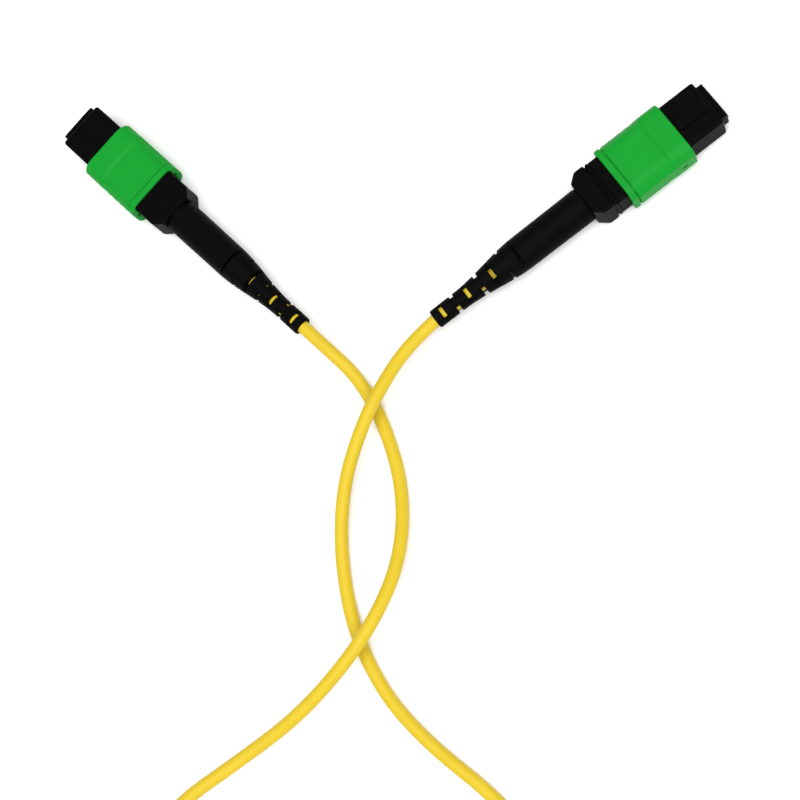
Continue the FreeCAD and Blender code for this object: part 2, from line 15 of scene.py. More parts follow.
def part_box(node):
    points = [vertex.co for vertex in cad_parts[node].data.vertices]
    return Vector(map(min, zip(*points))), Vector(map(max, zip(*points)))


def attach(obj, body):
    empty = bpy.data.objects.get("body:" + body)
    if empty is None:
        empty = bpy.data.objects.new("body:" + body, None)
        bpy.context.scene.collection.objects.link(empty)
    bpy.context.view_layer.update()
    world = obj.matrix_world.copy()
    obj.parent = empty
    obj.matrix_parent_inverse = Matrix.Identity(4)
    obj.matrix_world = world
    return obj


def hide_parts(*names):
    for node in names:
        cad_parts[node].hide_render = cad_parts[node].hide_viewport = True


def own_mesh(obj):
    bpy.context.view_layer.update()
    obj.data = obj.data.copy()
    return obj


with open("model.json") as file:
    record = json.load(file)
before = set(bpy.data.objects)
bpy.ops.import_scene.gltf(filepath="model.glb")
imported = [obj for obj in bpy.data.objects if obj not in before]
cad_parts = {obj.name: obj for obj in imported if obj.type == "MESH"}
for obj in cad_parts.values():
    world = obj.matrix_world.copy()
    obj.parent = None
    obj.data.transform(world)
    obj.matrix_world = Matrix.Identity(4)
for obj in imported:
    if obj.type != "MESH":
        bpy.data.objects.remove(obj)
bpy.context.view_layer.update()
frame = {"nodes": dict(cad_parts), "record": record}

MM = 0.001
LETTERS = ("a", "b")

# ---------------------------------------------------------------- camera
# It looks down steeply and is rolled, so that both plugs point up and outwards.
CAMERA_PLACE = Vector((-0.0392, -0.1273, 0.3462))
CAMERA_TARGET = Vector((-0.0674, -0.0068, 0.0))
CAMERA_ROLL = math.radians(-50.12)
CAMERA_LENS = 89.8
CAMERA_NEAR = 0.01

# ---------------------------------------------------------------- sizes, millimetres
# How far a cutting shape runs on beyond the face it cuts through.
OVERRUN = 1.0
# The least angle between two faces whose edge is rounded.
SOFTEN_ANGLE = math.radians(30)

# Coupling sleeve
SLEEVE_WIDTH = 12.4
SLEEVE_HEIGHT = 7.6
SLEEVE_CORNER = (2.9, 2.4)
SLEEVE_FRONT = 2.0
SLEEVE_REAR = -12.0
SLEEVE_EDGE = 0.3
SLEEVE_EDGE_RINGS = 10
RAMP_FRONT = -2.2
RAMP_REAR = -2.75
RIM_FRONT = -10.85
FIELD_DEPTH = 0.3
RIM_GROOVE = 0.3
RIM_GROOVE_WIDTH = 0.42
RIM_GROOVE_FLAT = 0.4
RIM_GROOVE_WALL = 0.02
RIM_GROOVE_AHEAD = 0.06
SCOOP_DEPTH = 0.34
SCOOP_MIDDLE = 2.6
SCOOP_HALF = 1.0
SCOOP_FRONT = -2.3
SCOOP_NOSE = 1.1
SCOOP_FADE = 0.5
GRIP_RIBS = 5
GRIP_HALF = 1.8
GRIP_DEPTH = 0.13
GRIP_FADE = 0.5
GRIP_LEAD = 0.4
# How far the surface must face up or sideways to have the field, the scoops or the ribs.
FIELD_FACING = (0.6, 1.0)
SCOOP_FACING = (0.05, 0.3)
GRIP_FACING = 0.9
MOUTH_BEVEL = 0.1
MOUTH_SEAT = 0.15
MOUTH_WALL = 0.8
MOUTH_DEPTH = 1.6
MOUTH_HEIGHT = 6.6
MOUTH_CORNER = (2.1, 1.8)
HOLE_PLACE = -0.6
HOLE_LENGTH = 1.3
HOLE_HEIGHT = 0.75
HOLE_STEPS = 9
SLEEVE_TRAVEL = 2.0
CHANNEL_FLOOR = 5.45
SPRING_ROOM = 1.1
LUG_REAR = -2.8
LUG_FRONT = -1.9
LUG_TIP = 4.45
LUG_ROOT = 5.68
LUG_HEIGHT = 1.0
# The spacing of the sleeve's rings, and where it starts and stops beside the rounded edges.
EDGE_CLEAR = 0.4
RIM_STEP = 0.15
FIELD_STEP = 0.1
MOUTH_STEP = 0.2

# Plug housing
PLUG_WIDTH = 9.7
PLUG_HEIGHT = 6.2
PLUG_CORNER = 0.6
PLUG_REAR = -14.1
SHOULDER = 9.5
SHOULDER_BEVEL = 0.5
SHOULDER_RINGS = 6
PLUG_EDGE = 0.1
NOSE_WIDTH = 7.75
NOSE_HEIGHT = 4.1
NOSE_CORNER = 0.3
NOSE_FRONT = 10.8
NOSE_ROOT = 0.1
NOSE_EDGE = 0.12
NOSE_EDGE_STEP = (0.04, 0.03)
KEY_WIDTH = 3.0
KEY_REAR = 2.6
KEY_RAISE = 0.5
KEY_EDGE = 0.12
BORE_WIDTH = 6.5
BORE_HEIGHT = 2.6
BORE_CORNER = 0.05
ROOM_WIDTH = 7.3
ROOM_HEIGHT = 4.8
ROOM_CORNER = 0.5
ROOM_FRONT = 1.05
FLANGE_ROOM_WIDTH = 7.1
FLANGE_ROOM_HEIGHT = 3.1
FLANGE_ROOM_FRONT = 5.15
POCKET_REAR = -1.3
POCKET_FRONT = 1.7
POCKET_DEPTH = 0.7
POCKET_HEIGHT = 3.4
SPRING_GROOVE_REAR = -10.5
SPRING_GROOVE_FRONT = -1.8
SPRING_GROOVE_FLOOR = 4.35
WINDOW_REAR = -11.95
WINDOW_FRONT = -10.65
WINDOW_HEIGHT = 2.4
SLIDE_GAP = 0.15
# Points of its sections, as in rounded(), and the even rings between its two ends.
HOUSING_STEPS = (20, 12, 8)
EVEN_REAR = 1.0
EVEN_FRONT = 1.2
EVEN_RINGS = 24

# Back body
BLOCK_STEPS = (12, 8, 6)
BODY_WIDTH = 9.8
BODY_HEIGHT = 6.8
BODY_REAR = -18.8
RIB_REAR = -14.8
GROOVE_REAR = -15.05
GROOVE_DROP = 0.35
RIB_DROP = 0.25
RIB_EDGE = 0.18
NECK_CORNER = 0.4
NECK_EDGE = 0.01
TAIL_EDGE = 0.35
TAIL_MARGIN = 0.05
CORNER_CUT = 1.7
SPIGOT_FRONT = -9.6
SPIGOT_GAP = 0.1
SPIGOT_EDGE = 0.1
# How far its blocks reach into each other.
SUNK = 0.2
HOOK_REAR = -11.9
HOOK_LENGTH = 1.1
HOOK_ROOT = 3.15
HOOK_TIP = 4.45
HOOK_HEIGHT = 2.0
POST_END = -24.5
POST_RADIUS = 2.3
POST_BORE = 1.7
POST_GROOVES = (-20.7, -22.6)
POST_GROOVE_DEPTH = 0.15
POST_GROOVE_MOUTH = 0.5
POST_GROOVE_FLOOR = 0.4

# Strain relief boot
BOOT_END = -53.2
BOOT_RADIUS = 3.4
BOOT_NECK = 3.3
BOOT_TAIL_RADIUS = 1.85
BOOT_SHOULDER = -33.0
BOOT_TAIL = -47.6
BOOT_BORE = 1.3
BOOT_ROOM = 2.7
BOOT_ROOM_END = -29.15
BOOT_EDGE = 0.35
BOOT_EDGE_RINGS = 6
SLIT_PITCH = 2.84
SLIT_FIRST = -34.16
SLIT_NARROW = 0.45
SLIT_WIDE = 0.74
# How near the axis each row is cut, from the barrel to the tail. The last five reach the cord.
SLIT_FLOORS = (1.75, 2.3, 0.85, 1.05, 0.8, 1.0, 0.75)
SLIT_LIP = 0.22
# The boot's rings: fine where the slits are, and coarse along the barrel in front of them.
BOOT_AROUND = 96
BOOT_EDGE_CLEAR = (0.45, 0.4)
SLITTED_FRONT = 0.8
SLITTED_STEP = 0.08
BARREL_REAR = 1.0
BARREL_STEP = 0.6

# Springs and ferrule face
SIDE_SPRING = dict(rear=-10.45, length=7.6, diameter=1.0, wire=0.2, turns=5)
SIDE_SPRING_LINE = 4.9
MAIN_SPRING = dict(rear=-9.55, length=10.55, diameter=4.4, wire=0.5, turns=5)
TURN_STEPS = 28
WIRE_SIDES = 8
FERRULE_FLOAT = 0.8
FERRULE_FACE = 11.1
FERRULE_EDGE = 0.04
FERRULE_EDGE_ANGLE = math.radians(50)
FACE_SLANT = math.radians(8)
FIBRES = 12
FIBRE_PITCH = 0.25
FIBRE_RADIUS = 0.0625
FIBRE_PROUD = 0.012
FIBRE_SUNK = 0.1
FIBRE_POLISH = 0.7
FIBRE_SIDES = 20

# ---------------------------------------------------------------- cord sizes, metres
CORD_DIAMETER = 0.0025
ON_FLOOR = CORD_DIAMETER / 2
OVER = ON_FLOOR + 2 * CORD_DIAMETER
SLOPING = ON_FLOOR + CORD_DIAMETER
CORD_EXIT_RUN = 0.0068
AXIS_HEIGHT = SLEEVE_HEIGHT / 2 * MM


# ---------------------------------------------------------------- camera and plug places
def make_camera():
    data = bpy.data.cameras.new("camera")
    data.lens = CAMERA_LENS
    data.clip_start = CAMERA_NEAR
    camera = bpy.data.objects.new("camera", data)
    forward = (CAMERA_TARGET - CAMERA_PLACE).normalized()
    right = forward.cross(Vector((0, 0, 1))).normalized()
    up = right.cross(forward)
    rolled_right = math.cos(CAMERA_ROLL) * right + math.sin(CAMERA_ROLL) * up
    rolled_up = math.cos(CAMERA_ROLL) * up - math.sin(CAMERA_ROLL) * right
    axes = Matrix((rolled_right, rolled_up, -forward)).transposed().to_4x4()
    camera.matrix_world = Matrix.Translation(CAMERA_PLACE) @ axes
    bpy.context.scene.collection.objects.link(camera)
    bpy.context.scene.camera = camera


def plug_frame(letter):
    """The matrix that sets a plug, drawn about its own axis, where the frame has it."""
    mounts = {mount["name"]: mount for mount in frame["record"]["mounts"]}
    rest, ahead = mounts[f"rest_{letter}"], mounts[f"plug_{letter}"]
    heading = math.atan2(ahead["axis"][1], ahead["axis"][0])
    half_roll = math.pi if letter == "b" else 0.0
    place = Vector(rest["pos_m"]) + Vector((0, 0, AXIS_HEIGHT))
    turned_about = Matrix.Translation(place) @ Matrix.Rotation(heading, 4, "Z")
    return turned_about @ Matrix.Rotation(half_roll, 4, "X")


PLUG_FRAMES = {letter: plug_frame(letter) for letter in LETTERS}


def plug_b_point(x, height):
    """A point of the route behind plug B, from its station along the plug's axis."""
    point = PLUG_FRAMES["b"] @ Vector((x, 0, 0))
    return (point.x, point.y, height)


# ---------------------------------------------------------------- cord
CORD_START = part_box("jacket_end_a")[0].x
CORD_ROUTE = [
    (CORD_START, 0.0, AXIS_HEIGHT),
    (-0.0595, -0.0005, AXIS_HEIGHT),
    (-0.0681, -0.0046, OVER),
    (-0.0757, -0.0086, OVER),
    (-0.0852, -0.0149, SLOPING),
    (-0.0935, -0.0250, ON_FLOOR),
    (-0.0995, -0.0389, ON_FLOOR),
    (-0.1007, -0.0560, ON_FLOOR),
    (-0.0926, -0.0823, ON_FLOOR),
    (-0.0960, -0.1050, ON_FLOOR),
    (-0.1160, -0.1184, ON_FLOOR),
    (-0.1430, -0.1180, ON_FLOOR),
    (-0.1660, -0.1030, ON_FLOOR),
    (-0.1736, -0.0780, ON_FLOOR),
    (-0.1670, -0.0525, ON_FLOOR),
    (-0.1470, -0.0423, ON_FLOOR),
    (-0.1275, -0.0430, ON_FLOOR),
    (-0.1158, -0.0436, SLOPING),
    (-0.1040, -0.0422, OVER),
    (-0.0934, -0.0386, OVER),
    (-0.0839, -0.0320, SLOPING),
    (-0.0765, -0.0215, ON_FLOOR),
    (-0.0722, -0.0092, ON_FLOOR),
    (-0.0711, 0.0013, ON_FLOOR),
    plug_b_point(BOOT_END * MM - CORD_EXIT_RUN, AXIS_HEIGHT),
    plug_b_point(CORD_START, AXIS_HEIGHT),
]


def make_cord():
    curve = bpy.data.curves.new("cord", "CURVE")
    curve.dimensions = "3D"
    curve.bevel_depth = 1.0
    curve.bevel_resolution = 8
    curve.resolution_u = 16
    curve.use_fill_caps = True
    spline = curve.splines.new("NURBS")
    spline.points.add(len(CORD_ROUTE) - 1)
    for point, place in zip(spline.points, CORD_ROUTE):
        point.co = (*place, 1.0)
        point.radius = CORD_DIAMETER / 2
    spline.order_u = 3
    spline.use_endpoint_u = True
    cord = bpy.data.objects.new("cord", curve)
    bpy.context.scene.collection.objects.link(cord)
    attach(cord, "cord_set")
    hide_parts("free_cord")
    return cord


# ---------------------------------------------------------------- mesh building, millimetres
def rounded(width, height, corner, steps=(12, 22, 22)):
    """Points and outward normals of a rectangle with round corners, across the axis.

    A corner is one radius, or its reach across and its reach up.
    """
    reach = np.broadcast_to(corner, 2)
    across, up, bend = steps
    flat = np.array((width, height)) / 2 - reach
    points, normals = [], []
    for turn in range(4):
        angle = turn * math.pi / 2
        side = np.round((math.cos(angle), math.sin(angle)))
        along = np.round((-math.sin(angle), math.cos(angle)))
        count = (up, across)[turn % 2]
        start = side * (flat + reach) - along * flat
        for share in np.arange(count) / count:
            points.append(start + 2 * share * along * flat)
            normals.append(side)
        for bent in np.arange(bend) / bend * math.pi / 2:
            out = side * math.cos(bent) + along * math.sin(bent)
            points.append((side + along) * flat + out * reach)
            normals.append(out / reach / np.linalg.norm(out / reach))
    return np.array(points), np.array(normals)


def ring_at(x, points):
    """Points across the axis, set at one station along it."""
    return np.column_stack((np.full(len(points), x), points))


def loft(rings, closed):
    """Points and faces of rings that have the same number of points.

    Open, they make a solid with an end face at the first and the last ring. Closed, the last ring
    is joined to the first, as for a tube with its inside.
    """
    count = len(rings[0])
    vertices = np.vstack(rings)
    faces = []
    last = len(rings) if closed else len(rings) - 1
    for index in range(last):
        here, there = index * count, (index + 1) % len(rings) * count
        for step in range(count):
            after = (step + 1) % count
            faces.append((here + step, here + after, there + after, there + step))
    if not closed:
        faces.append(tuple(range(count))[::-1])
        faces.append(tuple(range(last * count, (last + 1) * count)))
    return vertices, faces


def solid(name, vertices, faces):
    """A mesh object in millimetres, its faces turned outwards."""
    mesh = bpy.data.meshes.new(name)
    mesh.from_pydata([tuple(map(float, v)) for v in vertices], [], faces)
    shape = bmesh.new()
    shape.from_mesh(mesh)
    bmesh.ops.recalc_face_normals(shape, faces=shape.faces)
    shape.to_mesh(mesh)
    shape.free()
    made = bpy.data.objects.new(name, mesh)
    bpy.context.scene.collection.objects.link(made)
    return made


def block(rear, front, low, high, floor, top):
    """Corner points and faces of a plain block, for cutting shapes."""
    corners = [(x, y, z) for x in (rear, front) for y in (low, high) for z in (floor, top)]
    faces = [(0, 1, 3, 2), (4, 6, 7, 5), (0, 4, 5, 1), (2, 3, 7, 6), (0, 2, 6, 4), (1, 5, 7, 3)]
    return corners, faces


def flank_block(side, rear, front, near, far, height):
    """A plain block on one narrow side, between two distances from the axis."""
    low, high = sorted((side * near, side * far))
    return block(rear, front, low, high, -height / 2, height / 2)


def circle_of(around):
    """Points of a circle of radius 1, across the axis."""
    angles = np.linspace(0, 2 * math.pi, around, endpoint=False)
    return np.column_stack((np.cos(angles), np.sin(angles)))


def turned(profile, around=48):
    """Points and faces of a solid turned about the axis, from (x, radius) stations."""
    circle = circle_of(around)
    return loft([ring_at(x, radius * circle) for x, radius in profile], closed=False)


def prism(name, outline, half_height):
    """An upright prism on an outline in plan."""
    rings = [np.array([(x, y, z) for x, y in outline]) for z in (-half_height, half_height)]
    return solid(name, *loft(rings, closed=False))


def several(parts):
    """Several vertex and face lists as one."""
    vertices, faces = [], []
    for points, sides in parts:
        start = len(vertices)
        vertices.extend(points)
        faces.extend(tuple(start + index for index in side) for side in sides)
    return vertices, faces


def settle(made):
    """Keep what the modifiers make of the mesh, and drop the modifiers."""
    bpy.context.view_layer.update()
    seen = made.evaluated_get(bpy.context.evaluated_depsgraph_get())
    mesh = bpy.data.meshes.new_from_object(seen)
    made.modifiers.clear()
    old, made.data = made.data, mesh
    bpy.data.meshes.remove(old)
    return made


def combined(made, parts, operation, overlapping=False):
    """Cut closed shapes out of a mesh object, or join them to it.

    The object's own shells are joined too if they overlap.
    """
    tool = solid("tool", *several(parts))
    modifier = made.modifiers.new("combined", "BOOLEAN")
    modifier.operation = operation
    modifier.solver = "EXACT"
    modifier.use_self = overlapping
    modifier.object = tool
    settle(made)
    bpy.data.objects.remove(tool)
    return made


def cut_away(made, parts):
    """Cut closed shapes out of a mesh object."""
    return combined(made, parts, "DIFFERENCE")


def soften(made, width, segments=2):
    """Round the sharp edges of a mesh object."""
    bevel = made.modifiers.new("edge", "BEVEL")
    bevel.width = width
    bevel.segments = segments
    bevel.limit_method = "ANGLE"
    bevel.angle_limit = SOFTEN_ANGLE
    return settle(made)


def merged(name, pieces):
    """Several mesh objects as one, with their shells left as they are."""
    shape = bmesh.new()
    for piece in pieces:
        shape.from_mesh(piece.data)
        bpy.data.objects.remove(piece)
    mesh = bpy.data.meshes.new(name)
    shape.to_mesh(mesh)
    shape.free()
    made = bpy.data.objects.new(name, mesh)
    bpy.context.scene.collection.objects.link(made)
    return made


def edge_share(start, end, count):
    """Uneven shares of a rounded edge, crowded towards the face that it meets at a share of 0."""
    return 1 - np.cos(np.linspace(start, end, count))


def edge_inset(distance, radius):
    """How far a rounded edge stands back, at a distance from the end face."""
    near = np.clip(radius - distance, 0, radius)
    return radius - math.sqrt(max(radius ** 2 - near ** 2, 0.0))


def ease(value, start, end):
    """From 0 to 1 between two values, level at both ends."""
    share = np.clip((value - start) / (end - start), 0, 1)
    return share * share * (3 - 2 * share)


# ---------------------------------------------------------------- coupling sleeve
def sleeve_inset(x, points, normals):
    """How far the outside stands back from the full section: edges, field, scoops and ribs."""
    end = edge_inset(min(x - SLEEVE_REAR, SLEEVE_FRONT - x), SLEEVE_EDGE)
    if x <= RIM_FRONT:
        return np.full(len(points), end)
    height = np.abs(points[:, 1])
    ramp = np.clip((RAMP_FRONT - x) / (RAMP_FRONT - RAMP_REAR), 0, 1)
    sideways, upright = np.abs(normals).T
    field = FIELD_DEPTH * ramp * ease(upright, *FIELD_FACING)
    bowl = np.clip(1 - ((height - SCOOP_MIDDLE) / SCOOP_HALF) ** 2, 0, 1)
    nose = SCOOP_FRONT - SCOOP_NOSE * (1 - np.sqrt(bowl))
    scoop = SCOOP_DEPTH * bowl * ease(nose - x, 0.0, SCOOP_FADE) * ease(sideways, *SCOOP_FACING)
    pitch = (SCOOP_FRONT - RIM_FRONT) / GRIP_RIBS
    between = 0.5 + 0.5 * math.cos(2 * math.pi * (x - RIM_FRONT) / pitch)
    flank = (1 - ease(height, GRIP_HALF - GRIP_FADE, GRIP_HALF)) * (sideways > GRIP_FACING)
    grip = GRIP_DEPTH * between * flank * ease(SCOOP_FRONT - x, 0.0, GRIP_LEAD)
    flat = RIM_GROOVE_FLAT * RIM_GROOVE_WIDTH
    groove = RIM_GROOVE * (1 - ease(x - RIM_FRONT, flat, RIM_GROOVE_WIDTH))
    return end + field + scoop + grip + groove


def side_hole(side):
    """The oblong hole near the front of a narrow side, as a prism with round ends."""
    radius = HOLE_HEIGHT / 2
    reach = HOLE_LENGTH / 2 - radius
    angles = np.linspace(-math.pi / 2, math.pi / 2, HOLE_STEPS)
    ahead = [(HOLE_PLACE + reach + radius * math.cos(a), radius * math.sin(a)) for a in angles]
    behind = [(2 * HOLE_PLACE - x, -z) for x, z in ahead]
    inner, outer = side * PLUG_WIDTH / 2, side * SLEEVE_WIDTH
    rings = [np.array([(x, y, z) for x, z in ahead + behind]) for y in (inner, outer)]
    return loft(rings, closed=False)


def make_sleeve():
    """The outside with its mouth and tunnel, the spring channels cut in and the lugs joined on."""
    points, normals = rounded(SLEEVE_WIDTH, SLEEVE_HEIGHT, SLEEVE_CORNER)
    groove_front = RIM_FRONT + RIM_GROOVE_WIDTH
    stations = np.concatenate((
        SLEEVE_REAR + SLEEVE_EDGE * edge_share(0, math.pi / 2, SLEEVE_EDGE_RINGS),
        np.arange(SLEEVE_REAR + EDGE_CLEAR, RIM_FRONT, RIM_STEP),
        RIM_FRONT + np.array((0, RIM_GROOVE_WALL, 0.5 * RIM_GROOVE_WIDTH, RIM_GROOVE_WIDTH)),
        np.arange(groove_front + RIM_GROOVE_AHEAD, RAMP_REAR, FIELD_STEP),
        [RAMP_REAR, RAMP_FRONT],
        np.arange(RAMP_FRONT + MOUTH_STEP, SLEEVE_FRONT - EDGE_CLEAR, MOUTH_STEP),
        SLEEVE_FRONT - SLEEVE_EDGE * edge_share(math.pi / 2, 0, SLEEVE_EDGE_RINGS)))
    outside = [ring_at(x, points - normals * sleeve_inset(x, points, normals)[:, None])
               for x in stations]
    tunnel = rounded(PLUG_WIDTH + 2 * SLIDE_GAP, PLUG_HEIGHT + 2 * SLIDE_GAP,
                     PLUG_CORNER + SLIDE_GAP)[0]
    mouth, away = rounded(SLEEVE_WIDTH - 2 * MOUTH_WALL, MOUTH_HEIGHT, MOUTH_CORNER)
    seat = SLEEVE_FRONT - MOUTH_DEPTH
    inside = [ring_at(SLEEVE_FRONT, mouth + MOUTH_BEVEL * away),
              ring_at(SLEEVE_FRONT - MOUTH_BEVEL, mouth), ring_at(seat + MOUTH_SEAT, mouth),
              ring_at(seat, tunnel), ring_at(SLEEVE_REAR, tunnel)]
    sleeve = solid("sleeve", *loft(outside + inside, closed=True))
    channels = [flank_block(side, SLEEVE_REAR - OVERRUN, LUG_REAR, PLUG_WIDTH / 2 - OVERRUN,
                            CHANNEL_FLOOR, SPRING_ROOM) for side in (-1, 1)]
    lugs = [flank_block(side, LUG_REAR, LUG_FRONT, LUG_TIP, LUG_ROOT, LUG_HEIGHT)
            for side in (-1, 1)]
    return combined(cut_away(sleeve, [side_hole(-1), side_hole(1)] + channels), lugs, "UNION")


# ---------------------------------------------------------------- plug housing
def housing_cuts():
    """On each narrow side: the latch pocket, the spring groove and the window for the hook."""
    outside = PLUG_WIDTH
    parts = []
    for side in (-1, 1):
        parts += [
            flank_block(side, POCKET_REAR, POCKET_FRONT, PLUG_WIDTH / 2 - POCKET_DEPTH, outside,
                        POCKET_HEIGHT),
            flank_block(side, SPRING_GROOVE_REAR, SPRING_GROOVE_FRONT, SPRING_GROOVE_FLOOR, outside,
                        SPRING_ROOM),
            flank_block(side, WINDOW_REAR, WINDOW_FRONT, ROOM_WIDTH / 2 - OVERRUN, outside,
                        WINDOW_HEIGHT),
        ]
    return parts


def make_key():
    """The polarity key: a low rail with a bevelled front."""
    front = SHOULDER - SHOULDER_BEVEL
    root, top, half = PLUG_HEIGHT / 2 - KEY_RAISE, PLUG_HEIGHT / 2 + KEY_RAISE, KEY_WIDTH / 2
    profile = [(KEY_REAR, root), (KEY_REAR, top), (front - KEY_RAISE, top),
               (front, top - KEY_RAISE), (front, root)]
    rings = [np.array([(x, y, z) for x, z in profile]) for y in (-half, half)]
    return soften(solid("key", *loft(rings, closed=False)), KEY_EDGE)


def make_housing():
    """The outside up to the nose, then back through the ferrule's bore and the rooms behind it."""
    steps = HOUSING_STEPS
    points, normals = rounded(PLUG_WIDTH, PLUG_HEIGHT, PLUG_CORNER, steps)
    nose, nose_normals = rounded(NOSE_WIDTH, NOSE_HEIGHT, NOSE_CORNER, steps)
    bore = rounded(BORE_WIDTH, BORE_HEIGHT, BORE_CORNER, steps)[0]
    flange_room = rounded(FLANGE_ROOM_WIDTH, FLANGE_ROOM_HEIGHT, BORE_CORNER, steps)[0]
    room = rounded(ROOM_WIDTH, ROOM_HEIGHT, ROOM_CORNER, steps)[0]
    rings = [ring_at(PLUG_REAR, points - PLUG_EDGE * normals),
             ring_at(PLUG_REAR + PLUG_EDGE, points)]
    rings += [ring_at(x, points)
              for x in np.linspace(PLUG_REAR + EVEN_REAR, SHOULDER - EVEN_FRONT, EVEN_RINGS)]
    for bent in np.linspace(0, math.pi / 2, SHOULDER_RINGS):
        x = SHOULDER - SHOULDER_BEVEL * (1 - math.sin(bent))
        rings.append(ring_at(x, points - SHOULDER_BEVEL * (1 - math.cos(bent)) * normals))
    back, drawn_in = NOSE_EDGE_STEP
    rings += [ring_at(SHOULDER, nose + NOSE_ROOT * nose_normals),
              ring_at(SHOULDER + NOSE_ROOT, nose), ring_at(NOSE_FRONT - NOSE_EDGE, nose),
              ring_at(NOSE_FRONT - back, nose - drawn_in * nose_normals),
              ring_at(NOSE_FRONT, nose - NOSE_EDGE * nose_normals), ring_at(NOSE_FRONT, bore),
              ring_at(FLANGE_ROOM_FRONT, bore), ring_at(FLANGE_ROOM_FRONT, flange_room),
              ring_at(ROOM_FRONT, flange_room), ring_at(ROOM_FRONT, room), ring_at(PLUG_REAR, room)]
    body = cut_away(solid("housing", *loft(rings, closed=True)), housing_cuts())
    return merged("housing", [body, make_key()])


# ---------------------------------------------------------------- back body
def section_block(rear, front, width, height, corner, edge):
    """A block along the axis with round long edges and small rounded ends."""
    points, normals = rounded(width, height, corner, BLOCK_STEPS)
    rings = [ring_at(rear, points - edge * normals), ring_at(rear + edge, points),
             ring_at(front - edge, points), ring_at(front, points - edge * normals)]
    return solid("block", *loft(rings, closed=False))


def tail_block():
    """The exposed block behind the joint, its two rear corners cut off in plan."""
    half, narrow = BODY_WIDTH / 2, BOOT_RADIUS + TAIL_MARGIN
    plan = [(GROOVE_REAR, half), (BODY_REAR + CORNER_CUT, half), (BODY_REAR, narrow),
            (BODY_REAR, -narrow), (BODY_REAR + CORNER_CUT, -half), (GROOVE_REAR, -half)]
    return soften(prism("tail_block", plan, BODY_HEIGHT / 2), TAIL_EDGE, segments=4)


def latch_hook(side):
    """A ramped catch on the spigot, which snaps into the housing's side window."""
    plan = [(HOOK_REAR, side * HOOK_ROOT), (HOOK_REAR, side * HOOK_TIP),
            (HOOK_REAR + HOOK_LENGTH / 3, side * HOOK_TIP),
            (HOOK_REAR + HOOK_LENGTH, side * HOOK_ROOT)]
    return prism("hook", plan, HOOK_HEIGHT / 2)


def make_back_body():
    """Blocks and post that reach a little into each other, joined and bored in one cut."""
    low = 2 * GROOVE_DROP
    rib = section_block(RIB_REAR, PLUG_REAR, BODY_WIDTH, BODY_HEIGHT - RIB_DROP, PLUG_CORNER,
                        RIB_EDGE)
    neck = section_block(GROOVE_REAR - SUNK, RIB_REAR + SUNK, BODY_WIDTH - low, BODY_HEIGHT - low,
                         NECK_CORNER, NECK_EDGE)
    spigot = section_block(PLUG_REAR - SUNK, SPIGOT_FRONT, ROOM_WIDTH - SPIGOT_GAP,
                           ROOM_HEIGHT - SPIGOT_GAP, ROOM_CORNER, SPIGOT_EDGE)
    groove_radius = POST_RADIUS - POST_GROOVE_DEPTH
    profile = [(BODY_REAR + SUNK, POST_RADIUS)]
    for centre in POST_GROOVES:
        profile += [(centre + POST_GROOVE_MOUTH, POST_RADIUS),
                    (centre + POST_GROOVE_FLOOR, groove_radius),
                    (centre - POST_GROOVE_FLOOR, groove_radius),
                    (centre - POST_GROOVE_MOUTH, POST_RADIUS)]
    profile.append((POST_END, POST_RADIUS))
    post = solid("post", *turned(profile))
    bore = turned([(POST_END - OVERRUN, POST_BORE), (SPIGOT_FRONT + OVERRUN, POST_BORE)])
    pieces = [rib, neck, spigot, tail_block(), post, latch_hook(-1), latch_hook(1)]
    return combined(merged("back_body", pieces), [bore], "DIFFERENCE", overlapping=True)


# ---------------------------------------------------------------- strain relief boot
def boot_radius(x):
    """Outside radius of the boot: a near-straight barrel, an S-curve and a thin tail."""
    barrel = BOOT_RADIUS + (BOOT_NECK - BOOT_RADIUS) * (BODY_REAR - x) / (BODY_REAR - BOOT_SHOULDER)
    thin = BOOT_NECK + (BOOT_TAIL_RADIUS - BOOT_NECK) * float(ease(-x, -BOOT_SHOULDER, -BOOT_TAIL))
    return barrel if x > BOOT_SHOULDER else thin


def slit_rows():
    """Every pair of slits: station, width, distance from the axis, and which way it faces.

    That is 0 for sideways and 1 for up and down, which is also the column of a ring's points.
    """
    rows = []
    for row, floor in enumerate(SLIT_FLOORS):
        width = SLIT_WIDE if floor < BOOT_BORE else SLIT_NARROW
        rows.append((SLIT_FIRST - row * SLIT_PITCH, width, floor, 1 - row % 2))
    return rows


def boot_ring(x, circle):
    """One ring of the boot's outside, drawn in a little at its ends and at the slits' lips."""
    radius = boot_radius(x) - edge_inset(min(x - BOOT_END, BODY_REAR - x), BOOT_EDGE)
    inset = np.zeros(len(circle))
    for place, width, floor, facing in slit_rows():
        beyond = abs(x - place) - width / 2
        if beyond < SLIT_LIP:
            open_here = np.abs(circle[:, facing]) * radius > floor - SLIT_LIP
            inset = np.maximum(inset, open_here * edge_inset(max(beyond, 0.0), SLIT_LIP))
    return ring_at(x, circle * (radius - inset)[:, None])


